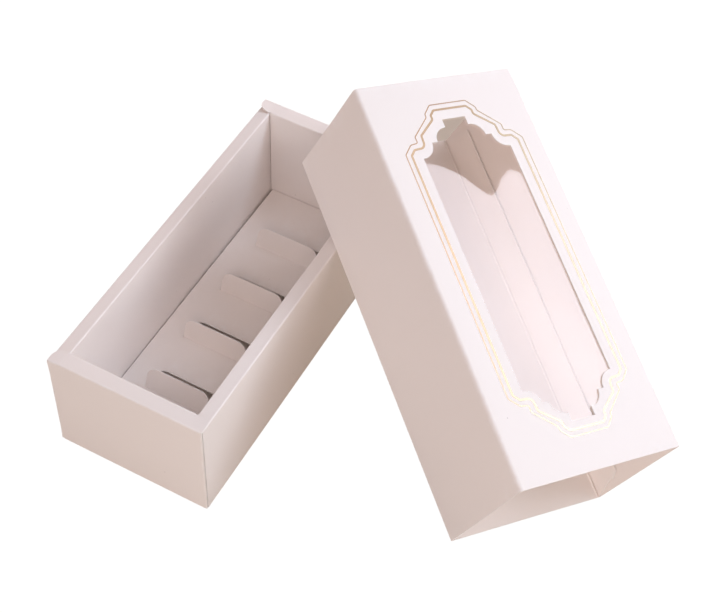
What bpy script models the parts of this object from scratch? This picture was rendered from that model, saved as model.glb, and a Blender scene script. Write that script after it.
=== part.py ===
"""Drawer box for macarons: an open card tray with hollow double walls, the tabbed divider card that lies in it,
and the sleeve with a film window that slides over the tray, here leaning on the tray's rim.

Metres, +Z up. The tray stands on Z = 0 with its length along Y, and the origin is the centre of its underside.
Each card piece is one sheet, drawn as the middle of its thickness with rounded folds, and then given both faces.
"""
import bpy
import bmesh
from math import atan2, cos, pi, radians, sin, tan
from mathutils import Matrix, Vector

# Card
CARD = 0.0005                 # thickness of the folded board
FOLD_RADIUS = 0.0008          # of a fold, at the middle of the board
FOLD_STEPS = 3
GAP = 0.0003                  # between pieces that touch
LAYER_GAP = 0.00015           # between two layers of the same sheet that lie on each other
DECIMALS = 7                  # points nearer than this many decimals of a metre are one point

# Tray
TRAY_WIDTH = 0.0754
TRAY_LENGTH = 0.180
TRAY_HEIGHT = 0.0586          # to the top of the end rims, which lie over the side rims
SIDE_RIM = 0.0065             # width of the hollow side walls
END_RIM = 0.0076              # width of the hollow end walls
RIM_CORNER = 0.0062           # rounded ends of the end rims
CORNER_NOTCH = 0.0012         # the walls' hinges at the floor stop this far short of its corners
INNER_FOOT = 0.0012           # height of the inner walls' free lower edges

# Divider card
FLOOR_TOP = 0.0060            # height of the raised floor
DIVIDER_WIDTH = 0.0612
DIVIDER_LENGTH = 0.1640
DIVIDER_TURN = radians(-0.2)  # it lies a little askew
TAB_LEFT = -0.0186
TAB_WIDTH = 0.0323
TAB_HEIGHT = 0.0115
TAB_CORNER = 0.0050
TAB_START = -0.0517           # crease of the nearest tab
TAB_PITCH = 0.0324
TAB_LEANS = (68, 73, 71, 67)  # degrees up from the floor, nearest first
SLOT_MARGIN = 0.0003

# Sleeve
SLEEVE_WIDTH = 0.0778
SLEEVE_HEIGHT = 0.0606
SLEEVE_LENGTH = 0.1835
SLEEVE_SKEW = radians(2.9)    # the side panels lean off square
TOP_EXTRA = 0.0010            # the top panel is wider than the bottom: its side panel is glued on outside
FLAP_WIDTH = 0.0185           # glue flap on the inside of the right side panel
FLAP_CHAMFER = 0.0057
FLAP_JOG_HEIGHT = 0.0140      # a small step in the flap's slanting ends
FLAP_JOG = 0.0008

# Window in the sleeve's top panel, measured from the window's centre
WINDOW_SHIFT_ACROSS = 0.0011
WINDOW_SHIFT_ALONG = 0.0006
WINDOW_HALF_WIDTH = 0.0220
WINDOW_HALF_LENGTH = 0.0708
WINDOW_END_HALF = 0.0058      # half width of the short end side
WINDOW_NECK = 0.0669          # where the upper curve leaves the end
WINDOW_NOTCH = 0.0607         # the notch between the two curves of a corner
WINDOW_NOTCH_IN = 0.0122
WINDOW_NOTCH_OUT = 0.0151
CURVE_STEPS = 7

# Window film
FILM = 0.0002
FILM_BORDER = 0.0050

# How the sleeve leans on the tray
LEAN = radians(21.63)         # slope of its bottom panel, down towards +X
REAR_RISE = radians(0.6)      # it bears on the far end rim, so its far end is a little higher
HEADING = radians(52.43)      # turn of its length away from the tray's
NEAR_CORNER_Y = -0.0001       # where its lowest corner meets the table

TRAY_COLOUR = (0.86, 0.80, 0.78, 1.0)
DIVIDER_COLOUR = (0.82, 0.74, 0.70, 1.0)
SLEEVE_COLOUR = (0.90, 0.85, 0.87, 1.0)
FILM_COLOUR = (0.95, 0.93, 0.94, 1.0)


def clear_objects():
    for thing in list(bpy.data.objects):
        bpy.data.objects.remove(thing, do_unlink=True)


def make_material(name, colour, roughness, transmission=0.0):
    material = bpy.data.materials.new(name)
    material.use_nodes = True
    shader = material.node_tree.nodes["Principled BSDF"]
    shader.inputs["Base Color"].default_value = colour
    shader.inputs["Roughness"].default_value = roughness
    shader.inputs["Transmission Weight"].default_value = transmission
    material.diffuse_color = colour
    return material


def arc(centre, radius, start, end, steps=CURVE_STEPS):
    """Points on an arc in the plane, from one angle to the other."""
    points = []
    for step in range(steps + 1):
        angle = start + (end - start) * step / steps
        points.append((centre[0] + radius * cos(angle), centre[1] + radius * sin(angle)))
    return points


def fold_arc(before, corner, after):
    """A rounded fold of a cross-section: (point, normal) pairs, the normals on the outer side of the bend."""
    arriving = (Vector(corner) - Vector(before)).normalized()
    leaving = (Vector(after) - Vector(corner)).normalized()
    turn = atan2(arriving.cross(leaving), arriving.dot(leaving))
    towards_centre = Vector((-arriving.y, arriving.x)) * (1 if turn > 0 else -1)
    centre = Vector(corner) - arriving * FOLD_RADIUS * abs(tan(turn / 2)) + towards_centre * FOLD_RADIUS
    pairs = []
    for step in range(FOLD_STEPS + 1):
        spoke = Matrix.Rotation(turn * step / FOLD_STEPS, 2) @ -towards_centre
        pairs.append((centre + spoke * FOLD_RADIUS, spoke))
    return pairs


def snapped(point):
    return tuple(round(value, DECIMALS) for value in point)


def facing_out(ring):
    """The ring in the order that makes its polygon face the way its own normals point."""
    area = Vector((0, 0, 0))
    facing = Vector((0, 0, 0))
    for (point, normal), (following, _) in zip(ring, ring[1:] + ring[:1]):
        area += Vector(point).cross(Vector(following))
        facing += Vector(normal)
    return ring if area.dot(facing) > 0 else ring[::-1]


def make_sheet(name, rings, thickness, material):
    """One closed solid from the rings of (point, normal) pairs that make up the middle of a sheet."""
    solid = bmesh.new()
    pairs = {}
    edges = set()
    for ring in rings:
        keys = []
        for point, normal in facing_out(ring):
            key = snapped(point)
            if key not in pairs:
                half = Vector(normal).normalized() * thickness / 2
                pairs[key] = (solid.verts.new(Vector(point) + half), solid.verts.new(Vector(point) - half))
            keys.append(key)
        solid.faces.new([pairs[key][0] for key in keys])
        solid.faces.new([pairs[key][1] for key in keys[::-1]])
        edges.update(zip(keys, keys[1:] + keys[:1]))
    for start, end in sorted(edges):
        if (end, start) not in edges:
            solid.faces.new((pairs[end][0], pairs[start][0], pairs[start][1], pairs[end][1]))
    mesh = bpy.data.meshes.new(name)
    solid.to_mesh(mesh)
    solid.free()
    mesh.materials.append(material)
    thing = bpy.data.objects.new(name, mesh)
    bpy.context.scene.collection.objects.link(thing)
    return thing


def strips_along(pairs, runs, place):
    """The narrow faces of a fold, between neighbouring pairs of its arc and neighbouring places of the run."""
    rings = []
    for near, far in zip(pairs, pairs[1:]):
        for start, end in zip(runs, runs[1:]):
            rings.append([place(near, start), place(near, end), place(far, end), place(far, start)])
    return rings


def side_place(side):
    """Puts a wall's cross-section on the right (1) or left (-1) side of the tray; the run is along Y."""
    def place(pair, run):
        (out, height), (normal_out, normal_up) = pair
        return (side * out, run, height), (side * normal_out, 0, normal_up)
    return place


def end_place(end):
    """Puts a wall's cross-section on the far (1) or near (-1) end of the tray; the run is along X."""
    def place(pair, run):
        (out, height), (normal_out, normal_up) = pair
        return (run, end * out, height), (0, end * normal_out, normal_up)
    return place


def mirrored(points):
    """A half outline of (run, out) points, followed by its mirror image in the run."""
    return points + [(-run, out) for run, out in points[::-1]]


def hollow_wall(place, outer, inner, top, hinge, half_run, half_inner, rim):
    """A wall folded up from the floor, over a rim and down again inside, and the points of its hinge."""
    floor = CARD / 2
    path = [(0, floor), (outer, floor), (outer, top), (inner, top), (inner, INNER_FOOT)]
    lower, upper, over = (fold_arc(path[index], path[index + 1], path[index + 2]) for index in range(3))
    rings = strips_along(lower, (-hinge, hinge), place)
    rings += strips_along(upper, (-half_run, half_run), place)
    rings += strips_along(over, (-half_inner, half_inner), place)

    shoulder = Vector((outer, lower[-1][0][1] + CORNER_NOTCH))
    outside = lower[-1][1]
    panel = [(hinge, lower[-1][0]), (hinge, shoulder), (half_run, shoulder), (half_run, upper[0][0])]
    rings.append([place((point, outside), run) for run, point in mirrored(panel)])

    up = upper[-1][1]
    strip = [(half_run, upper[-1][0][0])] + rim + [(half_inner, over[0][0][0])]
    rings.append([place(((out, top), up), run) for run, out in mirrored(strip)])

    inside = over[-1][1]
    foot = Vector((inner, INNER_FOOT))
    panel = [(half_inner, over[-1][0]), (half_inner, foot)]
    rings.append([place((point, inside), run) for run, point in mirrored(panel)])
    return rings, lower[0]


def tray_rings():
    """Floor, two side walls, and two end walls whose rims reach over the side rims."""
    side_out = TRAY_WIDTH / 2 - CARD / 2
    end_out = TRAY_LENGTH / 2 - CARD / 2
    side_hinge = end_out - CORNER_NOTCH
    end_hinge = side_out - CORNER_NOTCH
    side_run = TRAY_LENGTH / 2 - CARD - GAP
    side_in = TRAY_WIDTH / 2 - SIDE_RIM + CARD / 2
    end_in = TRAY_LENGTH / 2 - END_RIM + CARD / 2
    end_top = TRAY_HEIGHT - CARD / 2
    side_top = end_top - CARD - LAYER_GAP
    end_inner_run = TRAY_WIDTH / 2 - SIDE_RIM - GAP
    rim_edge = TRAY_LENGTH / 2 - END_RIM
    ear = arc((TRAY_WIDTH / 2 - RIM_CORNER, rim_edge + RIM_CORNER), RIM_CORNER, 0, -pi / 2)
    ear.append((end_inner_run + LAYER_GAP, rim_edge))

    rings = []
    hinges = {}
    for side in (1, -1):
        place = side_place(side)
        wall, start = hollow_wall(place, side_out, side_in, side_top, side_hinge, side_run, side_run, [])
        rings += wall
        hinges["side", side] = [place(start, run) for run in (-side_hinge * side, side_hinge * side)]
    for end in (1, -1):
        place = end_place(end)
        wall, start = hollow_wall(place, end_out, end_in, end_top, end_hinge, TRAY_WIDTH / 2, end_inner_run, ear)
        rings += wall
        hinges["end", end] = [place(start, run) for run in (end_hinge * end, -end_hinge * end)]
    rings.append(hinges["side", 1] + hinges["end", 1] + hinges["side", -1] + hinges["end", -1])
    return rings


def build_tray(card):
    return make_sheet("tray", tray_rings(), CARD, card)


def tab_crease(index):
    return TAB_START + index * TAB_PITCH


def half_tab(side, height, margin=0.0):
    """Half of a tab's outline seen flat, from its edge at the crease to the middle of its rounded top."""
    middle = TAB_LEFT + TAB_WIDTH / 2
    edge = TAB_WIDTH / 2 + margin
    top = height + margin
    corner = arc((edge - TAB_CORNER, top - TAB_CORNER), TAB_CORNER, 0, pi / 2)
    return [(middle + side * across, along) for across, along in [(edge, 0)] + corner + [(0, top)]]


def floor_half(side, edge):
    """Half of the raised floor, split along the middle of the tabs, with the slots that the tabs leave."""
    height = FLOOR_TOP - CARD / 2
    up = (0, 0, 1)
    middle = TAB_LEFT + TAB_WIDTH / 2
    half_length = DIVIDER_LENGTH / 2
    points = [(side * edge, -half_length), (middle, -half_length)]
    for index in range(len(TAB_LEANS)):
        crease = tab_crease(index)
        points += [(middle, crease), (middle + side * TAB_WIDTH / 2, crease)]
        points += [(across, crease + along) for across, along in half_tab(side, TAB_HEIGHT, SLOT_MARGIN)]
    points += [(middle, half_length), (side * edge, half_length)]
    return [((across, along, height), up) for across, along in points]


def raised_tab(crease, lean):
    """A tab folded up from its crease on the near side of its slot."""
    base = FLOOR_TOP - CARD / 2
    middle = TAB_LEFT + TAB_WIDTH / 2
    runs = (middle - TAB_WIDTH / 2, middle, middle + TAB_WIDTH / 2)
    bend = []
    for step in range(FOLD_STEPS + 1):
        angle = lean * step / FOLD_STEPS
        point = (crease + FOLD_RADIUS * sin(angle), base + FOLD_RADIUS * (1 - cos(angle)))
        bend.append((point, (-sin(angle), cos(angle))))

    def place(pair, run):
        (along, height), (normal_along, normal_up) = pair
        return (run, along, height), (0, normal_along, normal_up)

    rings = strips_along(bend, runs, place)
    (foot_along, foot_height), facing = bend[-1]
    rise = TAB_HEIGHT - FOLD_RADIUS * lean
    right = half_tab(1, rise)
    left = half_tab(-1, rise)
    outline = [(middle, 0)] + right + left[-2::-1]
    face = []
    for across, up in outline:
        pair = ((foot_along + up * cos(lean), foot_height + up * sin(lean)), facing)
        face.append(place(pair, across))
    rings.append(face)
    return rings


def divider_rings():
    """Raised floor with its tabs and slots, and a leg folded down along each long side."""
    outer = DIVIDER_WIDTH / 2 - CARD / 2
    base = FLOOR_TOP - CARD / 2
    foot = CARD + GAP
    half_length = DIVIDER_LENGTH / 2
    leg = fold_arc((0, base), (outer, base), (outer, foot))
    rings = []
    for side in (1, -1):
        place = side_place(side)
        rings.append(floor_half(side, leg[0][0][0]))
        rings += strips_along(leg, (-half_length, half_length), place)
        lowest = (Vector((outer, foot)), leg[-1][1])
        rings.append([place(leg[-1], -half_length), place(leg[-1], half_length),
                      place(lowest, half_length), place(lowest, -half_length)])
    for index, lean in enumerate(TAB_LEANS):
        rings += raised_tab(tab_crease(index), radians(lean))
    return rings


def build_divider(card):
    divider = make_sheet("divider", divider_rings(), CARD, card)
    divider.rotation_euler = (0, 0, DIVIDER_TURN)
    return divider


def leaning(across, height):
    """A point of the sleeve's cross-section, moved over by the lean of its side panels."""
    return (across + (height - CARD / 2) * tan(SLEEVE_SKEW), height)


def sleeve_section():
    """The sleeve's cross-section: flap, bottom, left side, top and right side, as the sheet is folded."""
    left = -SLEEVE_WIDTH / 2 + CARD / 2
    right = SLEEVE_WIDTH / 2 - CARD / 2
    low = CARD / 2
    high = SLEEVE_HEIGHT * cos(SLEEVE_SKEW) - CARD / 2
    flap = right - CARD - LAYER_GAP
    flap_top = low + FLAP_WIDTH * cos(SLEEVE_SKEW)
    return [leaning(flap, flap_top), leaning(flap, low), leaning(left, low), leaning(left, high),
            leaning(right + TOP_EXTRA, high), leaning(right, 0)]


def along_sleeve(pair, run):
    (across, height), (normal_across, normal_up) = pair
    return (across, run, height), (normal_across, 0, normal_up)


def half_window(side):
    """Half of the window's outline, from the middle of its far end to the middle of its near end."""
    upper_radius = WINDOW_NECK - WINDOW_NOTCH
    lower_radius = WINDOW_HALF_WIDTH - WINDOW_NOTCH_OUT
    upper = arc((WINDOW_NOTCH_IN - upper_radius, WINDOW_NOTCH), upper_radius, pi / 2, 0)
    lower = arc((WINDOW_HALF_WIDTH, WINDOW_NOTCH), lower_radius, pi, 3 * pi / 2)
    quarter = [(0, WINDOW_HALF_LENGTH), (WINDOW_END_HALF, WINDOW_HALF_LENGTH), (WINDOW_END_HALF, WINDOW_NECK)]
    quarter += upper + lower
    outline = quarter + [(across, -along) for across, along in quarter[::-1]]
    return [(side * across, along) for across, along in outline]


def window_centre():
    """Middle of the window on the middle of the top panel's card, in the sleeve's own frame."""
    section = sleeve_section()
    across = (section[3][0] + section[4][0]) / 2 + WINDOW_SHIFT_ACROSS
    return Vector((across, SLEEVE_LENGTH / 2 + WINDOW_SHIFT_ALONG, section[3][1]))


def top_half(side, edge):
    """Half of the top panel, split along the middle of the window."""
    centre = window_centre()
    points = [(centre.x, 0), (edge, 0), (edge, SLEEVE_LENGTH), (centre.x, SLEEVE_LENGTH)]
    points += [(centre.x + across, centre.y + along) for across, along in half_window(side)]
    return [((across, along, centre.z), (0, 0, 1)) for across, along in points]


def flap_ring(folded_edge, free_edge):
    """The glue flap, with slanting ends that have a small step in them."""
    facing = folded_edge[1]

    def at(share, along):
        point = folded_edge[0].lerp(free_edge, share)
        return along_sleeve((point, facing), along)

    jog = FLAP_JOG_HEIGHT / FLAP_WIDTH
    slant = FLAP_CHAMFER * jog
    half = [(0, 0), (jog, slant), (jog + FLAP_JOG / (2 * FLAP_WIDTH), slant - FLAP_JOG), (1, FLAP_CHAMFER)]
    ring = [at(share, inset) for share, inset in half]
    return ring + [at(share, SLEEVE_LENGTH - inset) for share, inset in half[::-1]]


def sleeve_rings():
    section = sleeve_section()
    folds = [fold_arc(section[index], section[index + 1], section[index + 2]) for index in range(4)]
    flap_fold, lower_left, upper_left, upper_right = folds
    whole = (0, SLEEVE_LENGTH)
    rings = [flap_ring(flap_fold[0], Vector(section[0]))]
    for fold in folds:
        rings += strips_along(fold, whole, along_sleeve)
    free_edge = (Vector(section[-1]), upper_right[-1][1])
    for start, end in ((flap_fold[-1], lower_left[0]), (lower_left[-1], upper_left[0]), (upper_right[-1], free_edge)):
        rings += strips_along((start, end), whole, along_sleeve)
    rings.append(top_half(-1, upper_left[-1][0].x))
    rings.append(top_half(1, upper_right[0][0].x))
    return rings


def film_rings():
    """The window film, glued flat behind the top panel."""
    centre = window_centre()
    height = centre.z - CARD / 2 - GAP - FILM / 2
    half_across = WINDOW_HALF_WIDTH + FILM_BORDER
    half_along = WINDOW_HALF_LENGTH + FILM_BORDER
    corners = [(-half_across, -half_along), (half_across, -half_along),
               (half_across, half_along), (-half_across, half_along)]
    return [[((centre.x + across, centre.y + along, height), (0, 0, 1)) for across, along in corners]]


def sleeve_placing(sleeve):
    """Where the sleeve lies: its bottom panel bears on the far right corner of the tray's rim,
    and the lowest point of its near end is on the table."""
    tilt = Matrix.Rotation(LEAN, 3, "Y") @ Matrix.Rotation(REAR_RISE, 3, "X")
    rotation = tilt @ Matrix.Rotation(HEADING, 3, "Z")
    down_slope = tilt @ Vector((1, 0, 0))
    along_rim = tilt @ Vector((0, 1, 0))
    bearing = Vector((TRAY_WIDTH / 2, TRAY_LENGTH / 2, TRAY_HEIGHT)) + tilt @ Vector((0, 0, GAP))
    lowest = min((rotation @ vertex.co for vertex in sleeve.data.vertices), key=lambda point: point.z)
    rise = -lowest.z - bearing.z
    shift = NEAR_CORNER_Y - lowest.y - bearing.y
    area = down_slope.z * along_rim.y - down_slope.y * along_rim.z
    slide_down = (rise * along_rim.y - shift * along_rim.z) / area
    slide_along = (shift * down_slope.z - rise * down_slope.y) / area
    origin = bearing + down_slope * slide_down + along_rim * slide_along
    return Matrix.Translation(origin) @ rotation.to_4x4()


def build_sleeve(card, clear_film):
    sleeve = make_sheet("sleeve", sleeve_rings(), CARD, card)
    film = make_sheet("window_film", film_rings(), FILM, clear_film)
    placing = sleeve_placing(sleeve)
    for piece in (sleeve, film):
        piece.matrix_world = placing
    return sleeve, film


def main():
    clear_objects()
    build_tray(make_material("tray_card", TRAY_COLOUR, 0.55))
    build_divider(make_material("divider_card", DIVIDER_COLOUR, 0.60))
    build_sleeve(make_material("sleeve_card", SLEEVE_COLOUR, 0.50),
                 make_material("clear_film", FILM_COLOUR, 0.05, transmission=1.0))


main()
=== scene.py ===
"""A macaron drawer box of off-white folding board: an open tray with hollow walls, the card with
raised tabs that lies in it, and the window sleeve that leans on the tray's rim. Metres, +Z up.

Each card piece is folded from one flat sheet: a plane is pulled out from its edges, rolled round
its folds and then given its thickness, so that a cut edge shows the middle of the board.
"""
from collections import namedtuple
from math import cos, exp, pi, radians, sin, tan

import bmesh
import bpy
from mathutils import Matrix, Vector, noise


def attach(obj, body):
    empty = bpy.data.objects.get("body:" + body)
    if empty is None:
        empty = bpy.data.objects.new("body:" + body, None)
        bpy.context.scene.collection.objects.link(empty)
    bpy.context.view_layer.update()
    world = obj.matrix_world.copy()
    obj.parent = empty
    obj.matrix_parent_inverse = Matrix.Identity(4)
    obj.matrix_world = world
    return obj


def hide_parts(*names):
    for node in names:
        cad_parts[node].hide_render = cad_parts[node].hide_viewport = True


AXES = {"x": Vector((1, 0, 0)), "y": Vector((0, 1, 0)), "z": Vector((0, 0, 1))}
TINY = 0.000001
SAME_PLACE = TINY * 10        # places this near to each other count as one
JOIN_REACH = TINY * 2         # vertices this near to each other are joined

# Board
CARD = 0.0005
FOLD_RADIUS = 0.0004          # at the middle of the board
FOLD_STEPS = 6
LAYER_GAP = 0.00015           # between an end rim and the side rims that it lies on
GAP = 0.0003                  # between pieces or walls that nearly touch
EDGE_CHAMFER = 0.00016        # the cut edges are a little blunt
EDGE_ANGLE = radians(50)      # and turn more sharply than this
SMOOTH_ANGLE = radians(35)
WORN_AND_HIGHLIT_ANGLE = radians(12)      # a fold is fully rubbed, and fully painted with its crease highlight, where it turns this much at a vertex
FOLD_MARGIN = 0.0004          # the panels stay flat this near to a fold
BEND_MARGIN = FOLD_RADIUS + FOLD_MARGIN
PANEL_STEP = 0.0070           # spacing of the cuts that let a panel bend
PANEL_UNEVEN = 0.6            # how unevenly a panel bows
PLAIN_SLOT = 1                # a board's materials are coated outside, plain inside and cut edge
EDGE_SLOT = 2

# Tray
TRAY_WIDTH = 0.0754
TRAY_LENGTH = 0.180
TRAY_HEIGHT = 0.0586
SIDE_RIM = 0.0065
END_RIM = 0.0076
EAR_RADIUS = 0.0050           # of the end rims' rounded ears, which lie on the side rims
EAR_CUTS = 10
EAR_NOTCH = 0.0006            # cut between an ear and the rolled part of its rim
EAR_LIFTS = {(-1, 1): 0.0012, (-1, -1): 0.0004, (1, -1): 0.0009, (1, 1): 0.0005}     # by side and end
NEAR_LEFT_DROOP = 0.0007      # of the near rim's left end
SIDE_RIM_SLOPES = {-1: 0.0011, 1: -0.0003}    # how much lower a rim is at its outer edge than inside
END_RIM_SLOPES = {-1: 0.0, 1: 0.0004}
SEAM_GAP = 0.00075            # between the end of a side wall and the board of an end wall
SEAM_STRIP = 0.0007           # along an end wall's edges, which turn in
SEAM_BEND = 0.00025
SEAM_ONSET = 8                # how soon they turn in above the shoulder
SHOULDER_RISE = 0.0002        # from an end wall's lower fold to where the wall widens
INNER_FOOT = 0.0012           # height of the inner walls' lower edges
TRAY_BOW = 0.00025            # how far its panels bow in
TRAY_WAVES = 22               # scale of its unevenness

# Tray, along the middle of its board
TRAY_FLOOR = CARD / 2
SIDE_OUT = TRAY_WIDTH / 2 - CARD / 2
SIDE_IN = TRAY_WIDTH / 2 - SIDE_RIM + CARD / 2
SIDE_FLAT = SIDE_OUT - FOLD_RADIUS
SIDE_RUN = TRAY_LENGTH / 2 - CARD - SEAM_GAP      # half the length of a side wall
END_OUT = TRAY_LENGTH / 2 - CARD / 2
END_IN = TRAY_LENGTH / 2 - END_RIM + CARD / 2
END_FLAT = END_OUT - FOLD_RADIUS
END_HINGE = SIDE_OUT - (END_OUT - SIDE_RUN)       # half the width of an end wall at its foot
END_INNER_RUN = TRAY_WIDTH / 2 - SIDE_RIM - GAP   # and on its inner side
END_TOP = TRAY_HEIGHT - CARD / 2
SIDE_TOP = END_TOP - CARD - LAYER_GAP
SHOULDER = TRAY_FLOOR + FOLD_RADIUS + SHOULDER_RISE
EAR_ROOT = END_INNER_RUN + EAR_NOTCH
EAR_TIP = TRAY_LENGTH / 2 - END_RIM               # how far an ear reaches in along the tray
SEAM_LINE = TRAY_WIDTH / 2 - SEAM_STRIP

# Divider card
FLOOR_TOP = 0.0060
DIVIDER_WIDTH = 0.0612
DIVIDER_LENGTH = 0.1640
DIVIDER_TURN = radians(-0.3)
TAB_LEFT = -0.0186
TAB_WIDTH = 0.0323
TAB_HEIGHT = 0.0115
TAB_CORNER = 0.0050
TAB_CORNER_STEPS = 10
TAB_CORNER_TRIM = TINY * 5    # the rounding stops short by this
TAB_START = -0.0517
TAB_PITCH = 0.0324
TAB_LEANS = (68, 73, 71, 67)  # degrees, from the near end
SLOT_MARGIN = 0.0003          # between a tab and the board round its slot
DIVIDER_BOW = 0.00020
DIVIDER_WAVES = 18

# Divider card, along the middle of its board
DIVIDER_OUT = DIVIDER_WIDTH / 2 - CARD / 2
DIVIDER_FLAT = DIVIDER_OUT - FOLD_RADIUS
DIVIDER_BASE = FLOOR_TOP - CARD / 2
DIVIDER_FOOT = CARD + GAP
TAB_RIGHT = TAB_LEFT + TAB_WIDTH
SLOT_LEFT = TAB_LEFT - SLOT_MARGIN
SLOT_RIGHT = TAB_RIGHT + SLOT_MARGIN
TAB_CREASES = [TAB_START + index * TAB_PITCH for index in range(len(TAB_LEANS))]

# Sleeve
SLEEVE_WIDTH = 0.0778
SLEEVE_HEIGHT = 0.0606
SLEEVE_LENGTH = 0.1835
SLEEVE_SKEW = radians(2.9)
TOP_EXTRA = 0.0010            # the top panel is wider than the bottom one
FLAP_WIDTH = 0.0185
FLAP_CHAMFER = 0.0057
FLAP_JOG_HEIGHT = 0.0140
FLAP_JOG = 0.0008
FLAP_GAP = 0.0001
BEAD_WIDTH = 0.0009           # the ridge inside the scored fold of the flap
BEAD_HEIGHT = 0.0005
SOFT_FOLD_RADIUS = 0.0015     # at the upper left edge, which is hardly pressed
SOFT_MARGIN = SOFT_FOLD_RADIUS + FOLD_MARGIN
SLEEVE_BOW = 0.00030
SLEEVE_WAVES = 16
TOP_UNEVEN = 0.5
LEAN = radians(21.63)
REAR_RISE = radians(0.6)
HEADING = radians(52.43)

# Window in the sleeve's top panel, from the window's middle
WINDOW_SHIFT_ACROSS = 0.0011
WINDOW_SHIFT_ALONG = 0.0006
WINDOW_HALF_WIDTH = 0.0220
WINDOW_HALF_LENGTH = 0.0708
WINDOW_END_HALF = 0.0058
WINDOW_NECK = 0.0669
WINDOW_NOTCH = 0.0607
WINDOW_NOTCH_IN = 0.0122
WINDOW_NOTCH_OUT = 0.0151
CURVE_STEPS = 14
PUNCH_DEPTH = 4 * CARD        # of the window's cutter, above and below the board

# Film behind the window
FILM = 0.0002
FILM_GAP = 0.00003            # to the board
FILM_BORDER = 0.0050
FILM_STEP = 0.0020
FILM_HALF_WIDTH = WINDOW_HALF_WIDTH + FILM_BORDER
FILM_HALF_LENGTH = WINDOW_HALF_LENGTH + FILM_BORDER
WAVE_ACROSS = -0.0041         # the film's one buckle, from the window's middle: a crest towards the
WAVE_ALONG = 0.0520           # near end and a trough beyond this place
WAVE_SPREAD = 0.0093
WAVE_REACH = 0.0131
WAVE_DIP = -0.0233            # how steep it is in its middle, and all the way across
WAVE_SLOPE = 0.0040
WAVE_ONSET = 6                # how soon the buckle sets in from the glued border

# Gold lines, a quarter of each, (across, along) from the middle of the lines
LINES_SHIFT_ALONG = 0.0012
LINE_LIFT = 0.00003           # the foil lies on the board
LINE_THICKNESS = 0.00002
LINE_STEP = 0.0020
OUTER_LINE_WIDTH = 0.0005
OUTER_LINE = ((0.0091, 0.0777), (0.0129, 0.0737), (0.0128, 0.0722), (0.0219, 0.0638),
              (0.0218, 0.0608), (0.0254, 0.0604), (0.0295, 0.0562))
INNER_LINE_WIDTH = 0.0010
INNER_LINE = ((0.0082, 0.0750), (0.0104, 0.0727), (0.0103, 0.0707), (0.0187, 0.0640),
              (0.0190, 0.0596), (0.0204, 0.0581), (0.0245, 0.0579), (0.0269, 0.0554))
LINE_ROUNDING = 0.0006
LINE_ROUNDING_STEPS = 3

# Camera, fitted to the photograph
CAMERA_AZIMUTH = radians(26.307)
CAMERA_ELEVATION = radians(51.33)
CAMERA_ROLL = radians(2.707)
CAMERA_DISTANCE = 0.737665
CAMERA_TARGET = Vector((0.037855, 0.039511, 0.0))
CAMERA_LENS = 79.17           # millimetres, on a sensor this wide
CAMERA_SENSOR = 36.0
CAMERA_CLIP_START = 0.01

# Softbox, which the film mirrors
KEY_DISTANCE = 0.60           # from the window
KEY_SPREAD = radians(28)      # angle that it fills along the sleeve
KEY_WIDTH = 0.36
KEY_EDGE_ALONG = 0.0446       # place on the film that mirrors the softbox's far edge
KEY_ROLL = radians(-31.7)
KEY_POWER = 1.7
KEY_COLOUR = (0.790, 0.850, 0.972)
KEY_FADE_START = 0.62         # share of its length from which it dims
KEY_FADE_END = 0.76           # what is left of its light at its far edge

# Large soft lights all round: name, direction that each stands in, size and colour
FILL_PLACE = Vector((0.08, 0.01, 0.04))       # what they point at
FILL_DISTANCE = 1.3
FILL_POWER = 15.0
FILLS = (("front_fill", (0.3, -1.0, 1.0), 0.4, (0.176, 0.138, 0.123)),
         ("high_right_fill", (1.0, 0.0, 1.2), 0.4, (0.050, 0.050, 0.058)),
         ("far_right_fill", (1.0, 0.5, 0.9), 0.4, (0.236, 0.250, 0.280)),
         ("high_left_fill", (-1.0, 0.5, 0.6), 0.5, (0.120, 0.101, 0.107)),
         ("low_front_fill", (0.0, -1.0, 0.15), 0.9, (0.242, 0.238, 0.258)),
         ("near_right_fill", (0.6, -1.0, 0.1), 0.4, (0.257, 0.234, 0.217)),
         ("low_right_fill", (1.0, 0.2, 0.15), 0.9, (0.114, 0.134, 0.134)),
         ("low_left_fill", (-1.0, 0.0, 0.15), 0.9, (0.227, 0.176, 0.160)),
         ("low_far_fill", (0.0, 1.0, 0.2), 0.5, (0.314, 0.226, 0.180)))

# Room and floor
ROOM_HIGH_COLOUR = (0.354, 0.304, 0.288, 1)
ROOM_LOW_COLOUR = (0, 0, 0, 1)
FLOOR_HALF = 1.5
FLOOR_DROP = 0.00005          # below the box
FLOOR_TINTS = ((0.60, 0.52, 0.43, 1), (0.58, 0.50, 0.41, 1))
FLOOR_ROUGHNESS = 0.8
FLOOR_GLOW = 1.10
FLOOR_WHITE = 0.92            # how much of what is seen of it is plain white
FILM_PASSED = 0.5             # what is seen past the film has a greater transparent depth than this
WHITE = (1, 1, 1, 1)

# Board finishes, in the order of their slots; the light and the dark tint cloud into each other, and the
# outsides of folds are painted lighter, as cracked coating and as a painted crease highlight
BOARDS = {
    "coated_board": {"tints": ((0.93, 0.885, 0.86, 1), (0.915, 0.87, 0.845, 1)), "roughness": 0.48,
                     "fibre_depth": 0.00001, "worn_and_highlight_colour": (0.96, 0.94, 0.93, 1), "worn_and_highlight_amount": 0.6},
    "plain_board": {"tints": ((0.93, 0.865, 0.82, 1), (0.91, 0.845, 0.80, 1)), "roughness": 0.70,
                    "fibre_depth": 0.00003, "worn_and_highlight_colour": (0.94, 0.91, 0.89, 1), "worn_and_highlight_amount": 0.3},
    "cut_edge_board": {"tints": ((0.95, 0.93, 0.92, 1), (0.90, 0.875, 0.86, 1)), "roughness": 0.85,
                       "fibre_depth": 0.00006, "worn_and_highlight_colour": (0.94, 0.91, 0.89, 1), "worn_and_highlight_amount": 0.0}}
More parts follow.
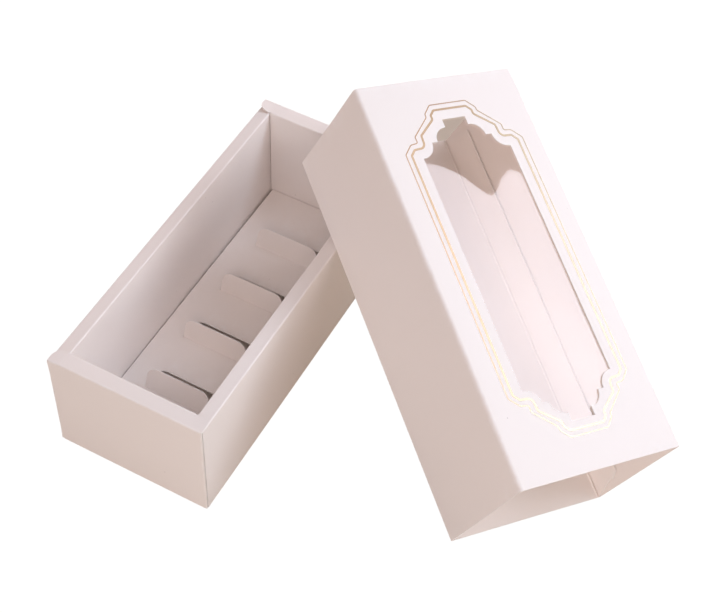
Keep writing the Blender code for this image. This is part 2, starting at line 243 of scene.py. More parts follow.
FIBRE_RANGE = (0.3, 0.7)      # most of the fibres' pattern lies between these
DULLER = 0.06                 # how much the fibres add to the roughness
GLOSSIER = 0.05               # and take from it
FIBRE_RELIEF = 0.5
FLECK_SHADE = 0.72

# Foil and film finishes
OUTER_FOIL = ((0.44, 0.28, 0.175, 1), (0.52, 0.42, 0.285, 1))     # deep and pale: painted shade at one side of the lines and a painted reflection of the softbox at the other
INNER_FOIL = ((0.45, 0.31, 0.195, 1), (0.51, 0.41, 0.29, 1))
FOIL_SHEEN_TURN = Vector((0.9, -0.25, 0))     # across and along the sleeve: the painted reflection pales the foil this way
FOIL_PAINTED_SHEEN_SPAN = (-0.020, 0.014)           # from and to, measured from the middle of the lines
FOIL_CLOUDING = 0.2
FOIL_ROUGHNESS = (0.34, 0.46)
FOIL_RELIEF = 0.3
FOIL_DEPTH = 0.00001
FILM_IOR = 1.63
FILM_TINT = (1.0, 0.923, 0.915, 1.0)
FILM_ROUGHNESS = 0.03


def hold(piece):
    """Makes one piece the only selected and the active one."""
    bpy.ops.object.select_all(action="DESELECT")
    piece.select_set(True)
    bpy.context.view_layer.objects.active = piece


def start_editing(piece):
    """Opens a piece in edit mode, with nothing in it selected."""
    hold(piece)
    bpy.ops.object.mode_set(mode="EDIT")
    bpy.ops.mesh.select_all(action="DESELECT")


def stop_editing():
    bpy.ops.object.mode_set(mode="OBJECT")


def pick(piece, kind, wanted):
    """Selects the vertices, edges or faces that are wanted, and nothing else."""
    bpy.ops.mesh.select_mode(type=kind)
    bpy.ops.mesh.select_all(action="DESELECT")
    net = bmesh.from_edit_mesh(piece.data)
    parts = {"VERT": net.verts, "EDGE": net.edges, "FACE": net.faces}[kind]
    for part in parts:
        if wanted(part):
            part.select_set(True)
    bmesh.update_edit_mesh(piece.data)


def near(value, place):
    return abs(value - place) < SAME_PLACE


def level_with(**places):
    """A test that a vertex, or every vertex of an edge or face, is at these places, such as x=0.1."""
    def wanted(part):
        vertices = getattr(part, "verts", (part,))
        return all(near(getattr(vertex.co, axis), place)
                   for vertex in vertices for axis, place in places.items())
    return wanted


def select_whole():
    bpy.ops.mesh.select_all(action="SELECT")


def flat_sheet(name, low, high, height):
    """A level rectangle from one corner to the other, at the middle of the board."""
    middle = ((low[0] + high[0]) / 2, (low[1] + high[1]) / 2, height)
    bpy.ops.object.select_all(action="DESELECT")
    bpy.ops.mesh.primitive_plane_add(size=1, location=middle)
    sheet = bpy.context.object
    sheet.name = name
    sheet.scale = (high[0] - low[0], high[1] - low[1], 1)
    bpy.ops.object.transform_apply(location=True, rotation=True, scale=True)
    return sheet


def pull(move):
    """Extrudes what is selected, and leaves its far side selected."""
    bpy.ops.mesh.extrude_region_move(TRANSFORM_OT_translate={"value": move})


def fold_along(start, corners, radii=()):
    """Pulls the selected edges from where they are along a line of corners, and rolls them round each one."""
    place = Vector(start)
    line = [Vector(corner) for corner in corners]
    before = place
    for index, (corner, after) in enumerate(zip(line, line[1:])):
        radius = radii[index] if radii else FOLD_RADIUS
        arriving = (corner - before).normalized()
        leaving = (after - corner).normalized()
        turn = arriving.angle(leaving)
        setback = radius * tan(turn / 2)
        inwards = (leaving - arriving * leaving.dot(arriving)).normalized()
        straight = (corner - place).dot(arriving) - setback
        if straight > TINY:
            pull(arriving * straight)
        centre = corner - arriving * setback + inwards * radius
        bpy.ops.mesh.spin(steps=FOLD_STEPS, angle=turn, center=centre, axis=inwards.cross(arriving))
        place = corner + leaving * setback
        before = corner
    pull(line[-1] - place)


def cut_picked(axis, place):
    """Cuts the selected faces across."""
    bpy.ops.mesh.bisect(plane_co=AXES[axis] * place, plane_no=AXES[axis], threshold=TINY)


def slice_sheet(axis, places):
    """Cuts the whole sheet across at each place, so that its panels can bend there."""
    for place in places:
        select_whole()
        cut_picked(axis, place)


def steps_between(low, high, step):
    """Evenly spaced places inside a stretch, about a step apart."""
    count = max(1, round((high - low) / step))
    return [low + (high - low) * index / count for index in range(1, count)]


def both_sides(*places):
    return [side * place for place in places for side in (1, -1)]


def side_of(place):
    return 1 if place > 0 else -1


def swell(value, low, high):
    """Nothing at both ends of a stretch, rising smoothly to one in its middle."""
    share = min(max((value - low) / (high - low), 0), 1)
    return sin(pi * share) ** 2


def uneven(place, share, waves):
    """About one, and up to the share more or less from place to place."""
    return 1 + share * noise.noise(Vector(place) * waves)


def join_doubles():
    select_whole()
    bpy.ops.mesh.remove_doubles(threshold=JOIN_REACH)


def turn_faces(piece, towards, wanted=lambda face: True):
    """Makes the sheet's faces agree, with those that are wanted facing this way."""
    select_whole()
    bpy.ops.mesh.normals_make_consistent(inside=False)
    net = bmesh.from_edit_mesh(piece.data)
    facing = sum((face.normal * face.calc_area() for face in net.faces if wanted(face)), Vector())
    if facing.dot(towards) < 0:
        bpy.ops.mesh.flip_normals()


def apply_modifier(piece, kind, **settings):
    """Adds a modifier with these settings and applies it."""
    hold(piece)
    modifier = piece.modifiers.new(kind.title(), kind)
    for setting, value in settings.items():
        setattr(modifier, setting, value)
    bpy.ops.object.modifier_apply(modifier=modifier.name)


def thicken(sheet, boards):
    """Both faces of the board, coated outside and plain inside, and the cut edges between them."""
    for material in boards:
        sheet.data.materials.append(material)
    apply_modifier(sheet, "SOLIDIFY", thickness=CARD, offset=0, use_even_offset=True,
                   use_quality_normals=True, material_offset=PLAIN_SLOT, material_offset_rim=EDGE_SLOT)


def shade(piece):
    hold(piece)
    bpy.ops.object.shade_smooth_by_angle(angle=SMOOTH_ANGLE)


def mark_folds(piece):
    """Stores how much each vertex is rubbed and painted with a crease highlight: the outside of a fold, and
    not a cut edge.
    """
    net = bmesh.new()
    net.from_mesh(piece.data)
    worn_and_highlit = []
    for vertex in net.verts:
        bends = [0.0]
        for edge in vertex.link_edges:
            faces = edge.link_faces
            if len(faces) == 2 and all(face.material_index != EDGE_SLOT for face in faces):
                bends.append(edge.calc_face_angle_signed())
        worn_and_highlit.append(min(max(bends) / WORN_AND_HIGHLIT_ANGLE, 1))
    net.free()
    attribute = piece.data.attributes.new("fold_wear_and_highlight", "FLOAT", "POINT")
    attribute.data.foreach_set("value", worn_and_highlit)


def finish_board(piece):
    """Blunts the cut edges of a board that has its thickness, shades it and marks its folds for rubbing and a
    painted crease highlight.
    """
    apply_modifier(piece, "BEVEL", width=EDGE_CHAMFER, segments=1, limit_method="ANGLE",
                   angle_limit=EDGE_ANGLE)
    shade(piece)
    mark_folds(piece)


def place_piece(piece, placing):
    """Moves a piece from the sleeve's own frame, and leaves its object at the origin."""
    hold(piece)
    piece.matrix_world = placing
    bpy.ops.object.transform_apply(location=True, rotation=True, scale=True)


def build_tray(boards):
    """A quarter of the tray, folded from its floor and mirrored both ways, and then bent a little."""
    tray = flat_sheet("tray_board", (0, 0), (SIDE_FLAT, END_FLAT), TRAY_FLOOR)
    start_editing(tray)
    pick(tray, "VERT", level_with(x=SIDE_FLAT, y=END_FLAT))
    bpy.ops.mesh.bevel(offset=SIDE_FLAT - END_HINGE, segments=1, affect="VERTICES")
    pick(tray, "EDGE", level_with(x=SIDE_FLAT))
    fold_along((SIDE_FLAT, 0, TRAY_FLOOR), [(SIDE_OUT, 0, TRAY_FLOOR), (SIDE_OUT, 0, SIDE_TOP),
                                            (SIDE_IN, 0, SIDE_TOP), (SIDE_IN, 0, INNER_FOOT)])
    fold_end_wall(tray)
    stop_editing()
    apply_modifier(tray, "MIRROR", use_axis=(True, True, False), merge_threshold=SAME_PLACE)
    start_editing(tray)
    join_doubles()
    turn_faces(tray, Vector((0, 0, -1)), level_with(z=TRAY_FLOOR))
    slice_tray()
    stop_editing()
    bend_tray(tray)
    thicken(tray, boards)
    finish_board(tray)
    return tray


def fold_end_wall(tray):
    """Wider from its shoulder up, with a rim that keeps two rounded ears, which lie on the side rims."""
    over_line = END_IN + FOLD_RADIUS
    ear_middle = (EAR_ROOT + TRAY_WIDTH / 2) / 2
    pick(tray, "EDGE", level_with(y=END_FLAT, z=TRAY_FLOOR))
    fold_along((0, END_FLAT, TRAY_FLOOR), [(0, END_OUT, TRAY_FLOOR), (0, END_OUT, SHOULDER)])
    pick(tray, "VERT", level_with(x=END_HINGE, y=END_OUT, z=SHOULDER))
    pull((TRAY_WIDTH / 2 - END_HINGE, 0, 0))
    pick(tray, "EDGE", level_with(y=END_OUT, z=SHOULDER))
    fold_along((0, END_OUT, SHOULDER), [(0, END_OUT, END_TOP), (0, EAR_TIP, END_TOP)])
    round_ear(tray)
    for axis, place in (("x", END_INNER_RUN), ("x", EAR_ROOT), ("x", ear_middle), ("y", over_line)):
        pick(tray, "FACE", level_with(z=END_TOP))
        cut_picked(axis, place)
    pick(tray, "FACE", lambda face: level_with(z=END_TOP)(face)
         and face.calc_center_median().x < EAR_ROOT and face.calc_center_median().y < over_line)
    bpy.ops.mesh.delete(type="FACE")
    pick(tray, "EDGE", lambda edge: level_with(y=over_line, z=END_TOP)(edge)
         and all(vertex.co.x < END_INNER_RUN + TINY for vertex in edge.verts))
    fold_along((0, over_line, END_TOP), [(0, END_IN, END_TOP), (0, END_IN, INNER_FOOT)])


def round_ear(tray):
    """Trims the ear's free corner to a quarter circle, by cuts along its tangents."""
    centre = Vector((TRAY_WIDTH / 2 - EAR_RADIUS, EAR_TIP + EAR_RADIUS, END_TOP))
    for cut in range(EAR_CUTS):
        angle = pi / 2 * (cut + 0.5) / EAR_CUTS
        outwards = Vector((cos(angle), -sin(angle), 0))
        pick(tray, "FACE", level_with(z=END_TOP))
        bpy.ops.mesh.bisect(plane_co=centre + outwards * EAR_RADIUS, plane_no=outwards, clear_outer=True,
                            threshold=TINY)


def slice_tray():
    """Cuts the tray's panels near their folds, and evenly between them."""
    slice_sheet("x", both_sides(SIDE_IN + FOLD_RADIUS + FOLD_MARGIN, SIDE_FLAT - FOLD_MARGIN, SEAM_LINE))
    slice_sheet("y", both_sides(END_IN + FOLD_RADIUS + FOLD_MARGIN, END_FLAT - FOLD_MARGIN))
    slice_sheet("x", steps_between(-SIDE_IN, SIDE_IN, PANEL_STEP))
    slice_sheet("y", steps_between(-END_IN, END_IN, PANEL_STEP))
    slice_sheet("z", [TRAY_FLOOR + BEND_MARGIN, SIDE_TOP - BEND_MARGIN, END_TOP - BEND_MARGIN])
    slice_sheet("z", steps_between(SHOULDER, SIDE_TOP - BEND_MARGIN, PANEL_STEP))


def bend_tray(tray):
    """Slopes the rims, bows the walls in, turns the end walls' edges in and lifts the ears."""
    for vertex in tray.data.vertices:
        x, y, z = vertex.co
        if z > TRAY_FLOOR + TINY:
            end_share = max(abs(y) - END_IN, 0) / (END_OUT - END_IN)
            vertex.co.z -= END_RIM_SLOPES[side_of(y)] * end_share * z / END_TOP
        if x < -EAR_ROOT and (y < -SIDE_RUN - TINY or (y < 0 and near(z, END_TOP))):
            droop = (-x - EAR_ROOT) / (TRAY_WIDTH / 2 - EAR_ROOT)
            vertex.co.z -= NEAR_LEFT_DROOP * droop * z / END_TOP
        if abs(x) > SIDE_IN - TINY and abs(y) < SIDE_RUN + TINY and TRAY_FLOOR + TINY < z < SIDE_TOP + TINY:
            slope = SIDE_RIM_SLOPES[side_of(x)]
            side_share = (abs(x) - SIDE_IN) / (SIDE_OUT - SIDE_IN)
            vertex.co.z -= max(slope * side_share, slope * (side_share - 1)) * z / SIDE_TOP
        rise = swell(z, SHOULDER, SIDE_TOP - BEND_MARGIN)
        bow = TRAY_BOW * uneven((x, y, z), PANEL_UNEVEN, TRAY_WAVES) * rise
        if near(abs(x), SIDE_OUT) or near(abs(x), SIDE_IN):
            vertex.co.x -= side_of(x) * bow * swell(y, -SIDE_RUN, SIDE_RUN)
        elif near(abs(y), END_OUT) or near(abs(y), END_IN):
            bend = SEAM_BEND * min(rise * SEAM_ONSET, 1) * max(abs(x) - SEAM_LINE, 0) / SEAM_STRIP
            vertex.co.y -= side_of(y) * (bow * swell(x, -END_INNER_RUN, END_INNER_RUN) + bend)
            vertex.co.x -= side_of(x) * bend * SEAM_BEND / SEAM_STRIP
        elif near(z, END_TOP) and abs(x) > EAR_ROOT:
            outward = (abs(x) - EAR_ROOT) / (TRAY_WIDTH / 2 - EAR_ROOT)
            inward = max(END_FLAT - abs(y), 0) / (END_FLAT - EAR_TIP)
            vertex.co.z += EAR_LIFTS[(side_of(x), side_of(y))] * outward * inward


def build_divider(boards):
    """Raised floor with a leg down along each long side, and four tabs folded up out of their slots."""
    divider = flat_sheet("divider_board", (-DIVIDER_FLAT, -DIVIDER_LENGTH / 2),
                         (DIVIDER_FLAT, DIVIDER_LENGTH / 2), DIVIDER_BASE)
    start_editing(divider)
    slice_sheet("x", (SLOT_LEFT, TAB_LEFT, SLOT_LEFT + TAB_CORNER,
                      SLOT_RIGHT - TAB_CORNER, TAB_RIGHT, SLOT_RIGHT))
    for crease in TAB_CREASES:
        slot_end = crease + TAB_HEIGHT + SLOT_MARGIN
        slice_sheet("y", (crease, slot_end - TAB_CORNER, slot_end))
    for crease in TAB_CREASES:
        cut_slot(divider, crease)
    for crease, lean in zip(TAB_CREASES, TAB_LEANS):
        raise_tab(divider, crease, radians(lean))
    for side in (1, -1):
        pick(divider, "EDGE", level_with(x=side * DIVIDER_FLAT, z=DIVIDER_BASE))
        fold_along((side * DIVIDER_FLAT, 0, DIVIDER_BASE),
                   [(side * DIVIDER_OUT, 0, DIVIDER_BASE), (side * DIVIDER_OUT, 0, DIVIDER_FOOT)])
    join_doubles()
    turn_faces(divider, Vector((0, 0, 1)), level_with(z=DIVIDER_BASE))
    slice_sheet("x", [-DIVIDER_FLAT + FOLD_MARGIN, DIVIDER_FLAT - FOLD_MARGIN])
    slice_sheet("x", steps_between(-DIVIDER_FLAT, DIVIDER_FLAT, PANEL_STEP))
    for crease in TAB_CREASES:
        slice_sheet("y", (crease - FOLD_MARGIN, crease - TAB_PITCH / 4))
    stop_editing()
    bend_divider(divider)
    thicken(divider, boards)
    finish_board(divider)
    divider.rotation_euler = (0, 0, DIVIDER_TURN)
    bpy.ops.object.transform_apply(location=True, rotation=True, scale=True)
    return divider


def cut_slot(divider, crease):
    """Takes out the board beyond a crease, and rounds the slot's two far corners."""
    slot_end = crease + TAB_HEIGHT + SLOT_MARGIN
    pick(divider, "FACE", lambda face: level_with(z=DIVIDER_BASE)(face)
         and SLOT_LEFT < face.calc_center_median().x < SLOT_RIGHT
         and crease < face.calc_center_median().y < slot_end)
    bpy.ops.mesh.delete(type="FACE")
    for corner, inwards in ((SLOT_LEFT, 1), (SLOT_RIGHT, -1)):
        round_slot_corner(divider, corner, inwards, slot_end)


def round_slot_corner(divider, corner, inwards, slot_end):
    """Fills a square corner of a slot up to a quarter circle: a point swept round it, and the face behind."""
    start = slot_end - TAB_CORNER
    pick(divider, "VERT", level_with(x=corner, y=start))
    centre = (corner + inwards * TAB_CORNER, start, DIVIDER_BASE)
    bpy.ops.mesh.spin(steps=FOLD_STEPS, angle=pi / 2, center=centre, axis=(0, 0, inwards))
    low = min(corner, centre[0]) - TINY
    high = max(corner, centre[0]) + TINY

    def in_corner(vertex):
        return low < vertex.co.x < high and start - TINY < vertex.co.y < slot_end + TINY

    pick(divider, "VERT", in_corner)
    bpy.ops.mesh.remove_doubles(threshold=JOIN_REACH)
    pick(divider, "EDGE", lambda edge: len(edge.link_faces) < 2 and all(map(in_corner, edge.verts)))
    bpy.ops.mesh.edge_face_add()


def raise_tab(divider, crease, lean):
    """Folds a tab up from its crease and rounds its two free corners."""
    setback = FOLD_RADIUS * tan(lean / 2)
    rise = TAB_HEIGHT - FOLD_RADIUS * lean + setback
    corner = Vector((0, crease + setback, DIVIDER_BASE))
    top = corner + Vector((0, cos(lean), sin(lean))) * rise
    pick(divider, "EDGE", lambda edge: level_with(y=crease, z=DIVIDER_BASE)(edge)
         and all(TAB_LEFT - TINY < vertex.co.x < TAB_RIGHT + TINY for vertex in edge.verts))
    fold_along((0, crease, DIVIDER_BASE), [corner, top])
    pick(divider, "VERT", lambda vertex: level_with(y=top.y, z=top.z)(vertex)
         and (near(vertex.co.x, TAB_LEFT) or near(vertex.co.x, TAB_RIGHT)))
    bpy.ops.mesh.bevel(offset=TAB_CORNER - TAB_CORNER_TRIM, segments=TAB_CORNER_STEPS, profile=0.5,
                       affect="VERTICES")


def bend_divider(divider):
    """Waves in the raised floor, which die out at its folds and its tabs' creases."""
    for vertex in divider.data.vertices:
        x, y, z = vertex.co
        if near(z, DIVIDER_BASE):
            away = min(abs(y - crease) for crease in TAB_CREASES)
            wave = noise.noise(Vector((x, y, 0)) * DIVIDER_WAVES) * min(away / TAB_HEIGHT, 1)
            vertex.co.z += DIVIDER_BOW * wave * swell(x, -DIVIDER_FLAT, DIVIDER_FLAT)


SleeveCorners = namedtuple("SleeveCorners", "free_flap flap_foot low_left high_left high_right free_right")


def leaning(across, height):
    """A place of the sleeve's skewed cross-section."""
    return Vector((across + (height - CARD / 2) * tan(SLEEVE_SKEW), 0, height))


def sleeve_corners():
    """The sleeve's cross-section, from the flap's free edge round to the outer side panel's."""
    left = -SLEEVE_WIDTH / 2 + CARD / 2
    right = SLEEVE_WIDTH / 2 - CARD / 2
    low = CARD / 2
    high = SLEEVE_HEIGHT * cos(SLEEVE_SKEW) - CARD / 2
    flap = right - CARD - FLAP_GAP
    flap_top = low + FLAP_WIDTH * cos(SLEEVE_SKEW)
    return SleeveCorners(leaning(flap, flap_top), leaning(flap, low), leaning(left, low),
                         leaning(left, high), leaning(right + TOP_EXTRA, high), leaning(right, 0))


def bottom_flat():
    """Where the flat part of the sleeve's bottom panel ends, at the left and at the right."""
    corners = sleeve_corners()
    left = corners.low_left.x + FOLD_RADIUS * tan((pi / 2 + SLEEVE_SKEW) / 2)
    right = corners.flap_foot.x - FOLD_RADIUS * tan((pi / 2 - SLEEVE_SKEW) / 2)
    return left, right


def window_middle():
    """On the middle of the top panel's board, in the sleeve's own frame."""
    corners = sleeve_corners()
    across = (corners.high_left.x + corners.high_right.x) / 2 + WINDOW_SHIFT_ACROSS
    return Vector((across, SLEEVE_LENGTH / 2 + WINDOW_SHIFT_ALONG, corners.high_left.z))


def lines_middle():
    """The same for the gold lines, which lie a little further along the sleeve."""
    return Vector((window_middle().x, SLEEVE_LENGTH / 2 + LINES_SHIFT_ALONG, window_middle().z))


def top_bow(across, along):
    """How far the top panel stands proud at a place of the sleeve's own frame."""
    corners = sleeve_corners()
    return SLEEVE_BOW * uneven((across, along, 0), TOP_UNEVEN, SLEEVE_WAVES) * swell(
        across, corners.high_left.x + SOFT_FOLD_RADIUS + FOLD_MARGIN,
        corners.high_right.x - FOLD_RADIUS - FOLD_MARGIN)


def sleeve_placing(cad_film):
    """The sleeve's own frame: its turns, and its origin found from the window film of the CAD model."""
    tilt = Matrix.Rotation(LEAN, 3, "Y") @ Matrix.Rotation(REAR_RISE, 3, "X")
    turn = tilt @ Matrix.Rotation(HEADING, 3, "Z")
    own = [turn.transposed() @ vertex.co for vertex in cad_film.data.vertices]
    low = Vector([min(point[axis] for point in own) for axis in range(3)])
    high = Vector([max(point[axis] for point in own) for axis in range(3)])
    film_middle = window_middle() - Vector((0, 0, CARD / 2 + GAP + FILM / 2))
    return Matrix.Translation(turn @ ((low + high) / 2 - film_middle)) @ turn.to_4x4()


def build_sleeve(boards, placing):
    """A tube folded from its bottom panel, with the glue flap inside its right side panel."""
    corners = sleeve_corners()
    left, right = bottom_flat()
    sleeve = flat_sheet("sleeve_board", (left, 0), (right, SLEEVE_LENGTH), CARD / 2)
    start_editing(sleeve)
    pick(sleeve, "EDGE", level_with(x=left))
    fold_along((left, 0, CARD / 2),
               [corners.low_left, corners.high_left, corners.high_right, corners.free_right],
               (FOLD_RADIUS, SOFT_FOLD_RADIUS, FOLD_RADIUS))
    pick(sleeve, "EDGE", level_with(x=right, z=CARD / 2))
    pull_flap((right, 0, CARD / 2), corners.flap_foot, corners.free_flap)
    turn_faces(sleeve, Vector((0, 0, 1)), level_with(z=corners.high_left.z))
    slice_sleeve()
    stop_editing()
    bend_sleeve(sleeve)
    thicken(sleeve, boards)
    cut_window(sleeve, boards[EDGE_SLOT])
    finish_board(sleeve)
    place_piece(sleeve, placing)
    return sleeve


def pull_flap(start, flap_foot, free_flap):
    """Pulls the glue flap up in three steps, with ends that slant in past a small jog."""
    up = (free_flap - flap_foot).normalized()
    jog_start = flap_foot + up * (FLAP_JOG_HEIGHT - FLAP_JOG / 2)
    jog_end = flap_foot + up * FLAP_JOG_HEIGHT
    slant = FLAP_CHAMFER * FLAP_JOG_HEIGHT / FLAP_WIDTH
    middle = jog_start + Vector((0, SLEEVE_LENGTH / 2, 0))
    fold_along(start, [flap_foot, jog_start])
    narrow_flap(0, slant, middle)
    pull(jog_end - jog_start)
    narrow_flap(slant, slant - FLAP_JOG, middle)
    pull(free_flap - jog_end)
    narrow_flap(slant - FLAP_JOG, FLAP_CHAMFER, middle)


def narrow_flap(before, after, middle):
    """Brings the selected edge's ends from one inset to another."""
    share = (SLEEVE_LENGTH - 2 * after) / (SLEEVE_LENGTH - 2 * before)
    bpy.ops.transform.resize(value=(1, share, 1), center_override=middle)


def slice_sleeve():
    """Cuts the sleeve's panels near their folds, at the bead and evenly between them."""
    corners = sleeve_corners()
    right = bottom_flat()[1]
    low = CARD / 2 + BEND_MARGIN
    high = corners.high_left.z - SOFT_MARGIN
    slice_sheet("x", (corners.high_left.x + SOFT_MARGIN, corners.high_right.x - BEND_MARGIN,
                      right - BEAD_WIDTH, right - BEAD_WIDTH / 2))
    slice_sheet("x", steps_between(corners.high_left.x, right, PANEL_STEP))
    slice_sheet("z", (low, high))
    slice_sheet("z", steps_between(low, high, PANEL_STEP))
    slice_sheet("y", steps_between(0, SLEEVE_LENGTH, PANEL_STEP))


def bend_sleeve(sleeve):
    """Bows the top panel out, the bottom and left panels in, and raises the bead beside the flap."""
    corners = sleeve_corners()
    left, right = bottom_flat()
    left_side = (corners.high_left - corners.low_left).normalized()
    outwards = Vector((-left_side.z, 0, left_side.x))
    for vertex in sleeve.data.vertices:
        x, y, z = vertex.co
        swing = uneven((x, y, z), PANEL_UNEVEN, SLEEVE_WAVES)
        if near(z, corners.high_left.z):
            vertex.co.z += top_bow(x, y)
        elif near(z, CARD / 2):
            vertex.co.z += SLEEVE_BOW * swing * swell(x, left + FOLD_MARGIN, right - BEAD_WIDTH)
            if near(x, right - BEAD_WIDTH / 2):
                vertex.co.z += BEAD_HEIGHT
        elif near((vertex.co - corners.low_left).dot(outwards), 0):
            height = swell(z, BEND_MARGIN, corners.high_left.z - SOFT_MARGIN)
            vertex.co -= outwards * SLEEVE_BOW * swing * height


def arc(centre, radius, start, end):
    """Points along part of a circle, from one angle to another."""
    points = []
    for step in range(CURVE_STEPS + 1):
        angle = start + (end - start) * step / CURVE_STEPS
        points.append((centre[0] + radius * cos(angle), centre[1] + radius * sin(angle)))
    return points


def window_quarter():
    """A quarter of the window: the end, a convex quarter round, a notch and a concave quarter round."""
    upper_radius = WINDOW_NECK - WINDOW_NOTCH
    lower_radius = WINDOW_HALF_WIDTH - WINDOW_NOTCH_OUT
    upper = arc((WINDOW_NOTCH_IN - upper_radius, WINDOW_NOTCH), upper_radius, pi / 2, 0)
    lower = arc((WINDOW_HALF_WIDTH, WINDOW_NOTCH), lower_radius, pi, 3 * pi / 2)
    return [(WINDOW_END_HALF, WINDOW_HALF_LENGTH), (WINDOW_END_HALF, WINDOW_NECK)] + upper + lower


def all_round(quarter):
    """The whole outline, anticlockwise seen from above, from its quarter at the far right."""
    right = [(across, -along) for across, along in quarter] + list(reversed(quarter))
    return right + [(-across, -along) for across, along in right]


def shifted(outline, middle):
    return [(middle.x + across, middle.y + along) for across, along in outline]


def outline_piece(name, outline, height):
    """A flat face with this outline: a circle whose points are drawn out to it."""
    bpy.ops.object.select_all(action="DESELECT")
    bpy.ops.mesh.primitive_circle_add(vertices=len(outline), radius=1, fill_type="NGON")
    piece = bpy.context.object
    piece.name = name
    for vertex, (across, along) in zip(piece.data.vertices, outline):
        vertex.co = (across, along, height)
    return piece


def cut_window(sleeve, edge_board):
    """Cuts the window out of the top panel with a punch of its outline."""
    middle = window_middle()
    outline = shifted(all_round(window_quarter()), middle)
    punch = outline_piece("window_punch", outline, middle.z - PUNCH_DEPTH)
    punch.data.materials.append(edge_board)
    start_editing(punch)
    select_whole()
    pull((0, 0, 2 * PUNCH_DEPTH))
    select_whole()
    bpy.ops.mesh.normals_make_consistent(inside=False)
    stop_editing()
    apply_modifier(sleeve, "BOOLEAN", operation="DIFFERENCE", object=punch, solver="EXACT",
                   material_mode="TRANSFER")
    bpy.data.objects.remove(punch, do_unlink=True)


def film_wave(across, along):
    """Height of the film's buckle, at a place measured from the window's middle."""
    slope = WAVE_DIP * exp(-((across - WAVE_ACROSS) / WAVE_SPREAD) ** 2) + WAVE_SLOPE
    quarter = WAVE_REACH * pi / 2
    from_middle = along - WAVE_ALONG
    if abs(from_middle) < quarter:
        rise = sin(from_middle / WAVE_REACH)
    elif from_middle > 0:
        rise = (1 + cos(pi * (from_middle - quarter) / (FILM_HALF_LENGTH - WAVE_ALONG - quarter))) / 2
    else:
        rise = -(1 + cos(pi * (-from_middle - quarter) / (FILM_HALF_LENGTH + WAVE_ALONG - quarter))) / 2
    return slope * WAVE_REACH * rise


def build_film(film_material, placing):
    """Clear film behind the window, with one slow buckle in it."""
    middle = window_middle()
    low = (middle.x - FILM_HALF_WIDTH, middle.y - FILM_HALF_LENGTH)
    high = (middle.x + FILM_HALF_WIDTH, middle.y + FILM_HALF_LENGTH)
    film = flat_sheet("window_clear_film", low, high, middle.z - CARD / 2 - FILM_GAP - FILM / 2)
    start_editing(film)
    slice_sheet("x", steps_between(low[0], high[0], FILM_STEP))
    slice_sheet("y", steps_between(low[1], high[1], FILM_STEP))
    turn_faces(film, Vector((0, 0, 1)))
    stop_editing()
    for vertex in film.data.vertices:
        across = vertex.co.x - middle.x
        along = vertex.co.y - middle.y
        inside = (swell(across, -FILM_HALF_WIDTH, FILM_HALF_WIDTH)
                  * swell(along, -FILM_HALF_LENGTH, FILM_HALF_LENGTH))
        vertex.co.z += film_wave(across, along) * min(inside * WAVE_ONSET, 1)
    film.data.materials.append(film_material)
    apply_modifier(film, "SOLIDIFY", thickness=FILM, offset=0)
    shade(film)
    place_piece(film, placing)
    return film


def offset_corner(before, corner, after, distance):
    """The corner of an outline moved out to the right of its direction by the distance on both its sides."""
    arriving = (Vector(corner) - Vector(before)).normalized()
    leaving = (Vector(after) - Vector(corner)).normalized()
    right_in = Vector((arriving.y, -arriving.x))
    right_out = Vector((leaving.y, -leaving.x))
    between = (right_in + right_out).normalized()
    return Vector(corner) + between * distance / between.dot(right_in)


def widened(outline, distance):
    """The outline with all its corners moved out."""
    befores = outline[-1:] + outline[:-1]
    afters = outline[1:] + outline[:1]
    return [offset_corner(before, corner, after, distance)
            for before, corner, after in zip(befores, outline, afters)]


def build_gold_line(name, quarter, width, foil, placing):
    """A foil line round the window: its outer outline, inset by its width, without the middle."""
    middle = lines_middle()
    outline = shifted(widened(all_round(quarter), width / 2), middle)
    line = outline_piece(name, outline, middle.z + CARD / 2 + LINE_LIFT)
    start_editing(line)
    select_whole()
    bpy.ops.mesh.bevel(offset=LINE_ROUNDING, segments=LINE_ROUNDING_STEPS, profile=0.5, affect="VERTICES")
    bpy.ops.mesh.select_mode(type="FACE")
    select_whole()
    bpy.ops.mesh.inset(thickness=width, use_even_offset=True)
    bpy.ops.mesh.delete(type="FACE")
    slice_sheet("y", steps_between(0, SLEEVE_LENGTH, LINE_STEP))
    slice_sheet("x", steps_between(-SLEEVE_WIDTH / 2, SLEEVE_WIDTH / 2, LINE_STEP))
    turn_faces(line, Vector((0, 0, 1)))
    stop_editing()
    for vertex in line.data.vertices:
        vertex.co.z += top_bow(vertex.co.x, vertex.co.y)
    line.data.materials.append(foil)
    apply_modifier(line, "SOLIDIFY", thickness=LINE_THICKNESS, offset=1)
    shade(line)
    place_piece(line, placing)
    return line


def add_node(tree, kind, **settings):
    """A shader node with its own settings, such as a Math node's operation."""
    node = tree.nodes.new(kind)
    for setting, value in settings.items():
        setattr(node, setting, value)
    return node


def connect(socket, value):
    """Gives a socket a value, or the output of another node."""
    if isinstance(value, bpy.types.NodeSocket):
        socket.id_data.links.new(value, socket)
    else:
        socket.default_value = value


def feed(node, *values, **named_values):
    """Connects a node's inputs, in their order or by their names."""
    for socket, value in zip(node.inputs, values):
        connect(socket, value)
    for name, value in named_values.items():
        connect(node.inputs[name.replace("_", " ")], value)
    return node


def object_place(tree):
    return add_node(tree, "ShaderNodeTexCoord").outputs["Object"]


def noise_pattern(tree, place, **inputs):
    return feed(add_node(tree, "ShaderNodeTexNoise"), Vector=place, **inputs).outputs["Fac"]


def calculate(tree, operation, *values, **settings):
    """The result of a Math node, from numbers or sockets that give them."""
    node = add_node(tree, "ShaderNodeMath", operation=operation, **settings)
    return feed(node, *values).outputs["Value"]


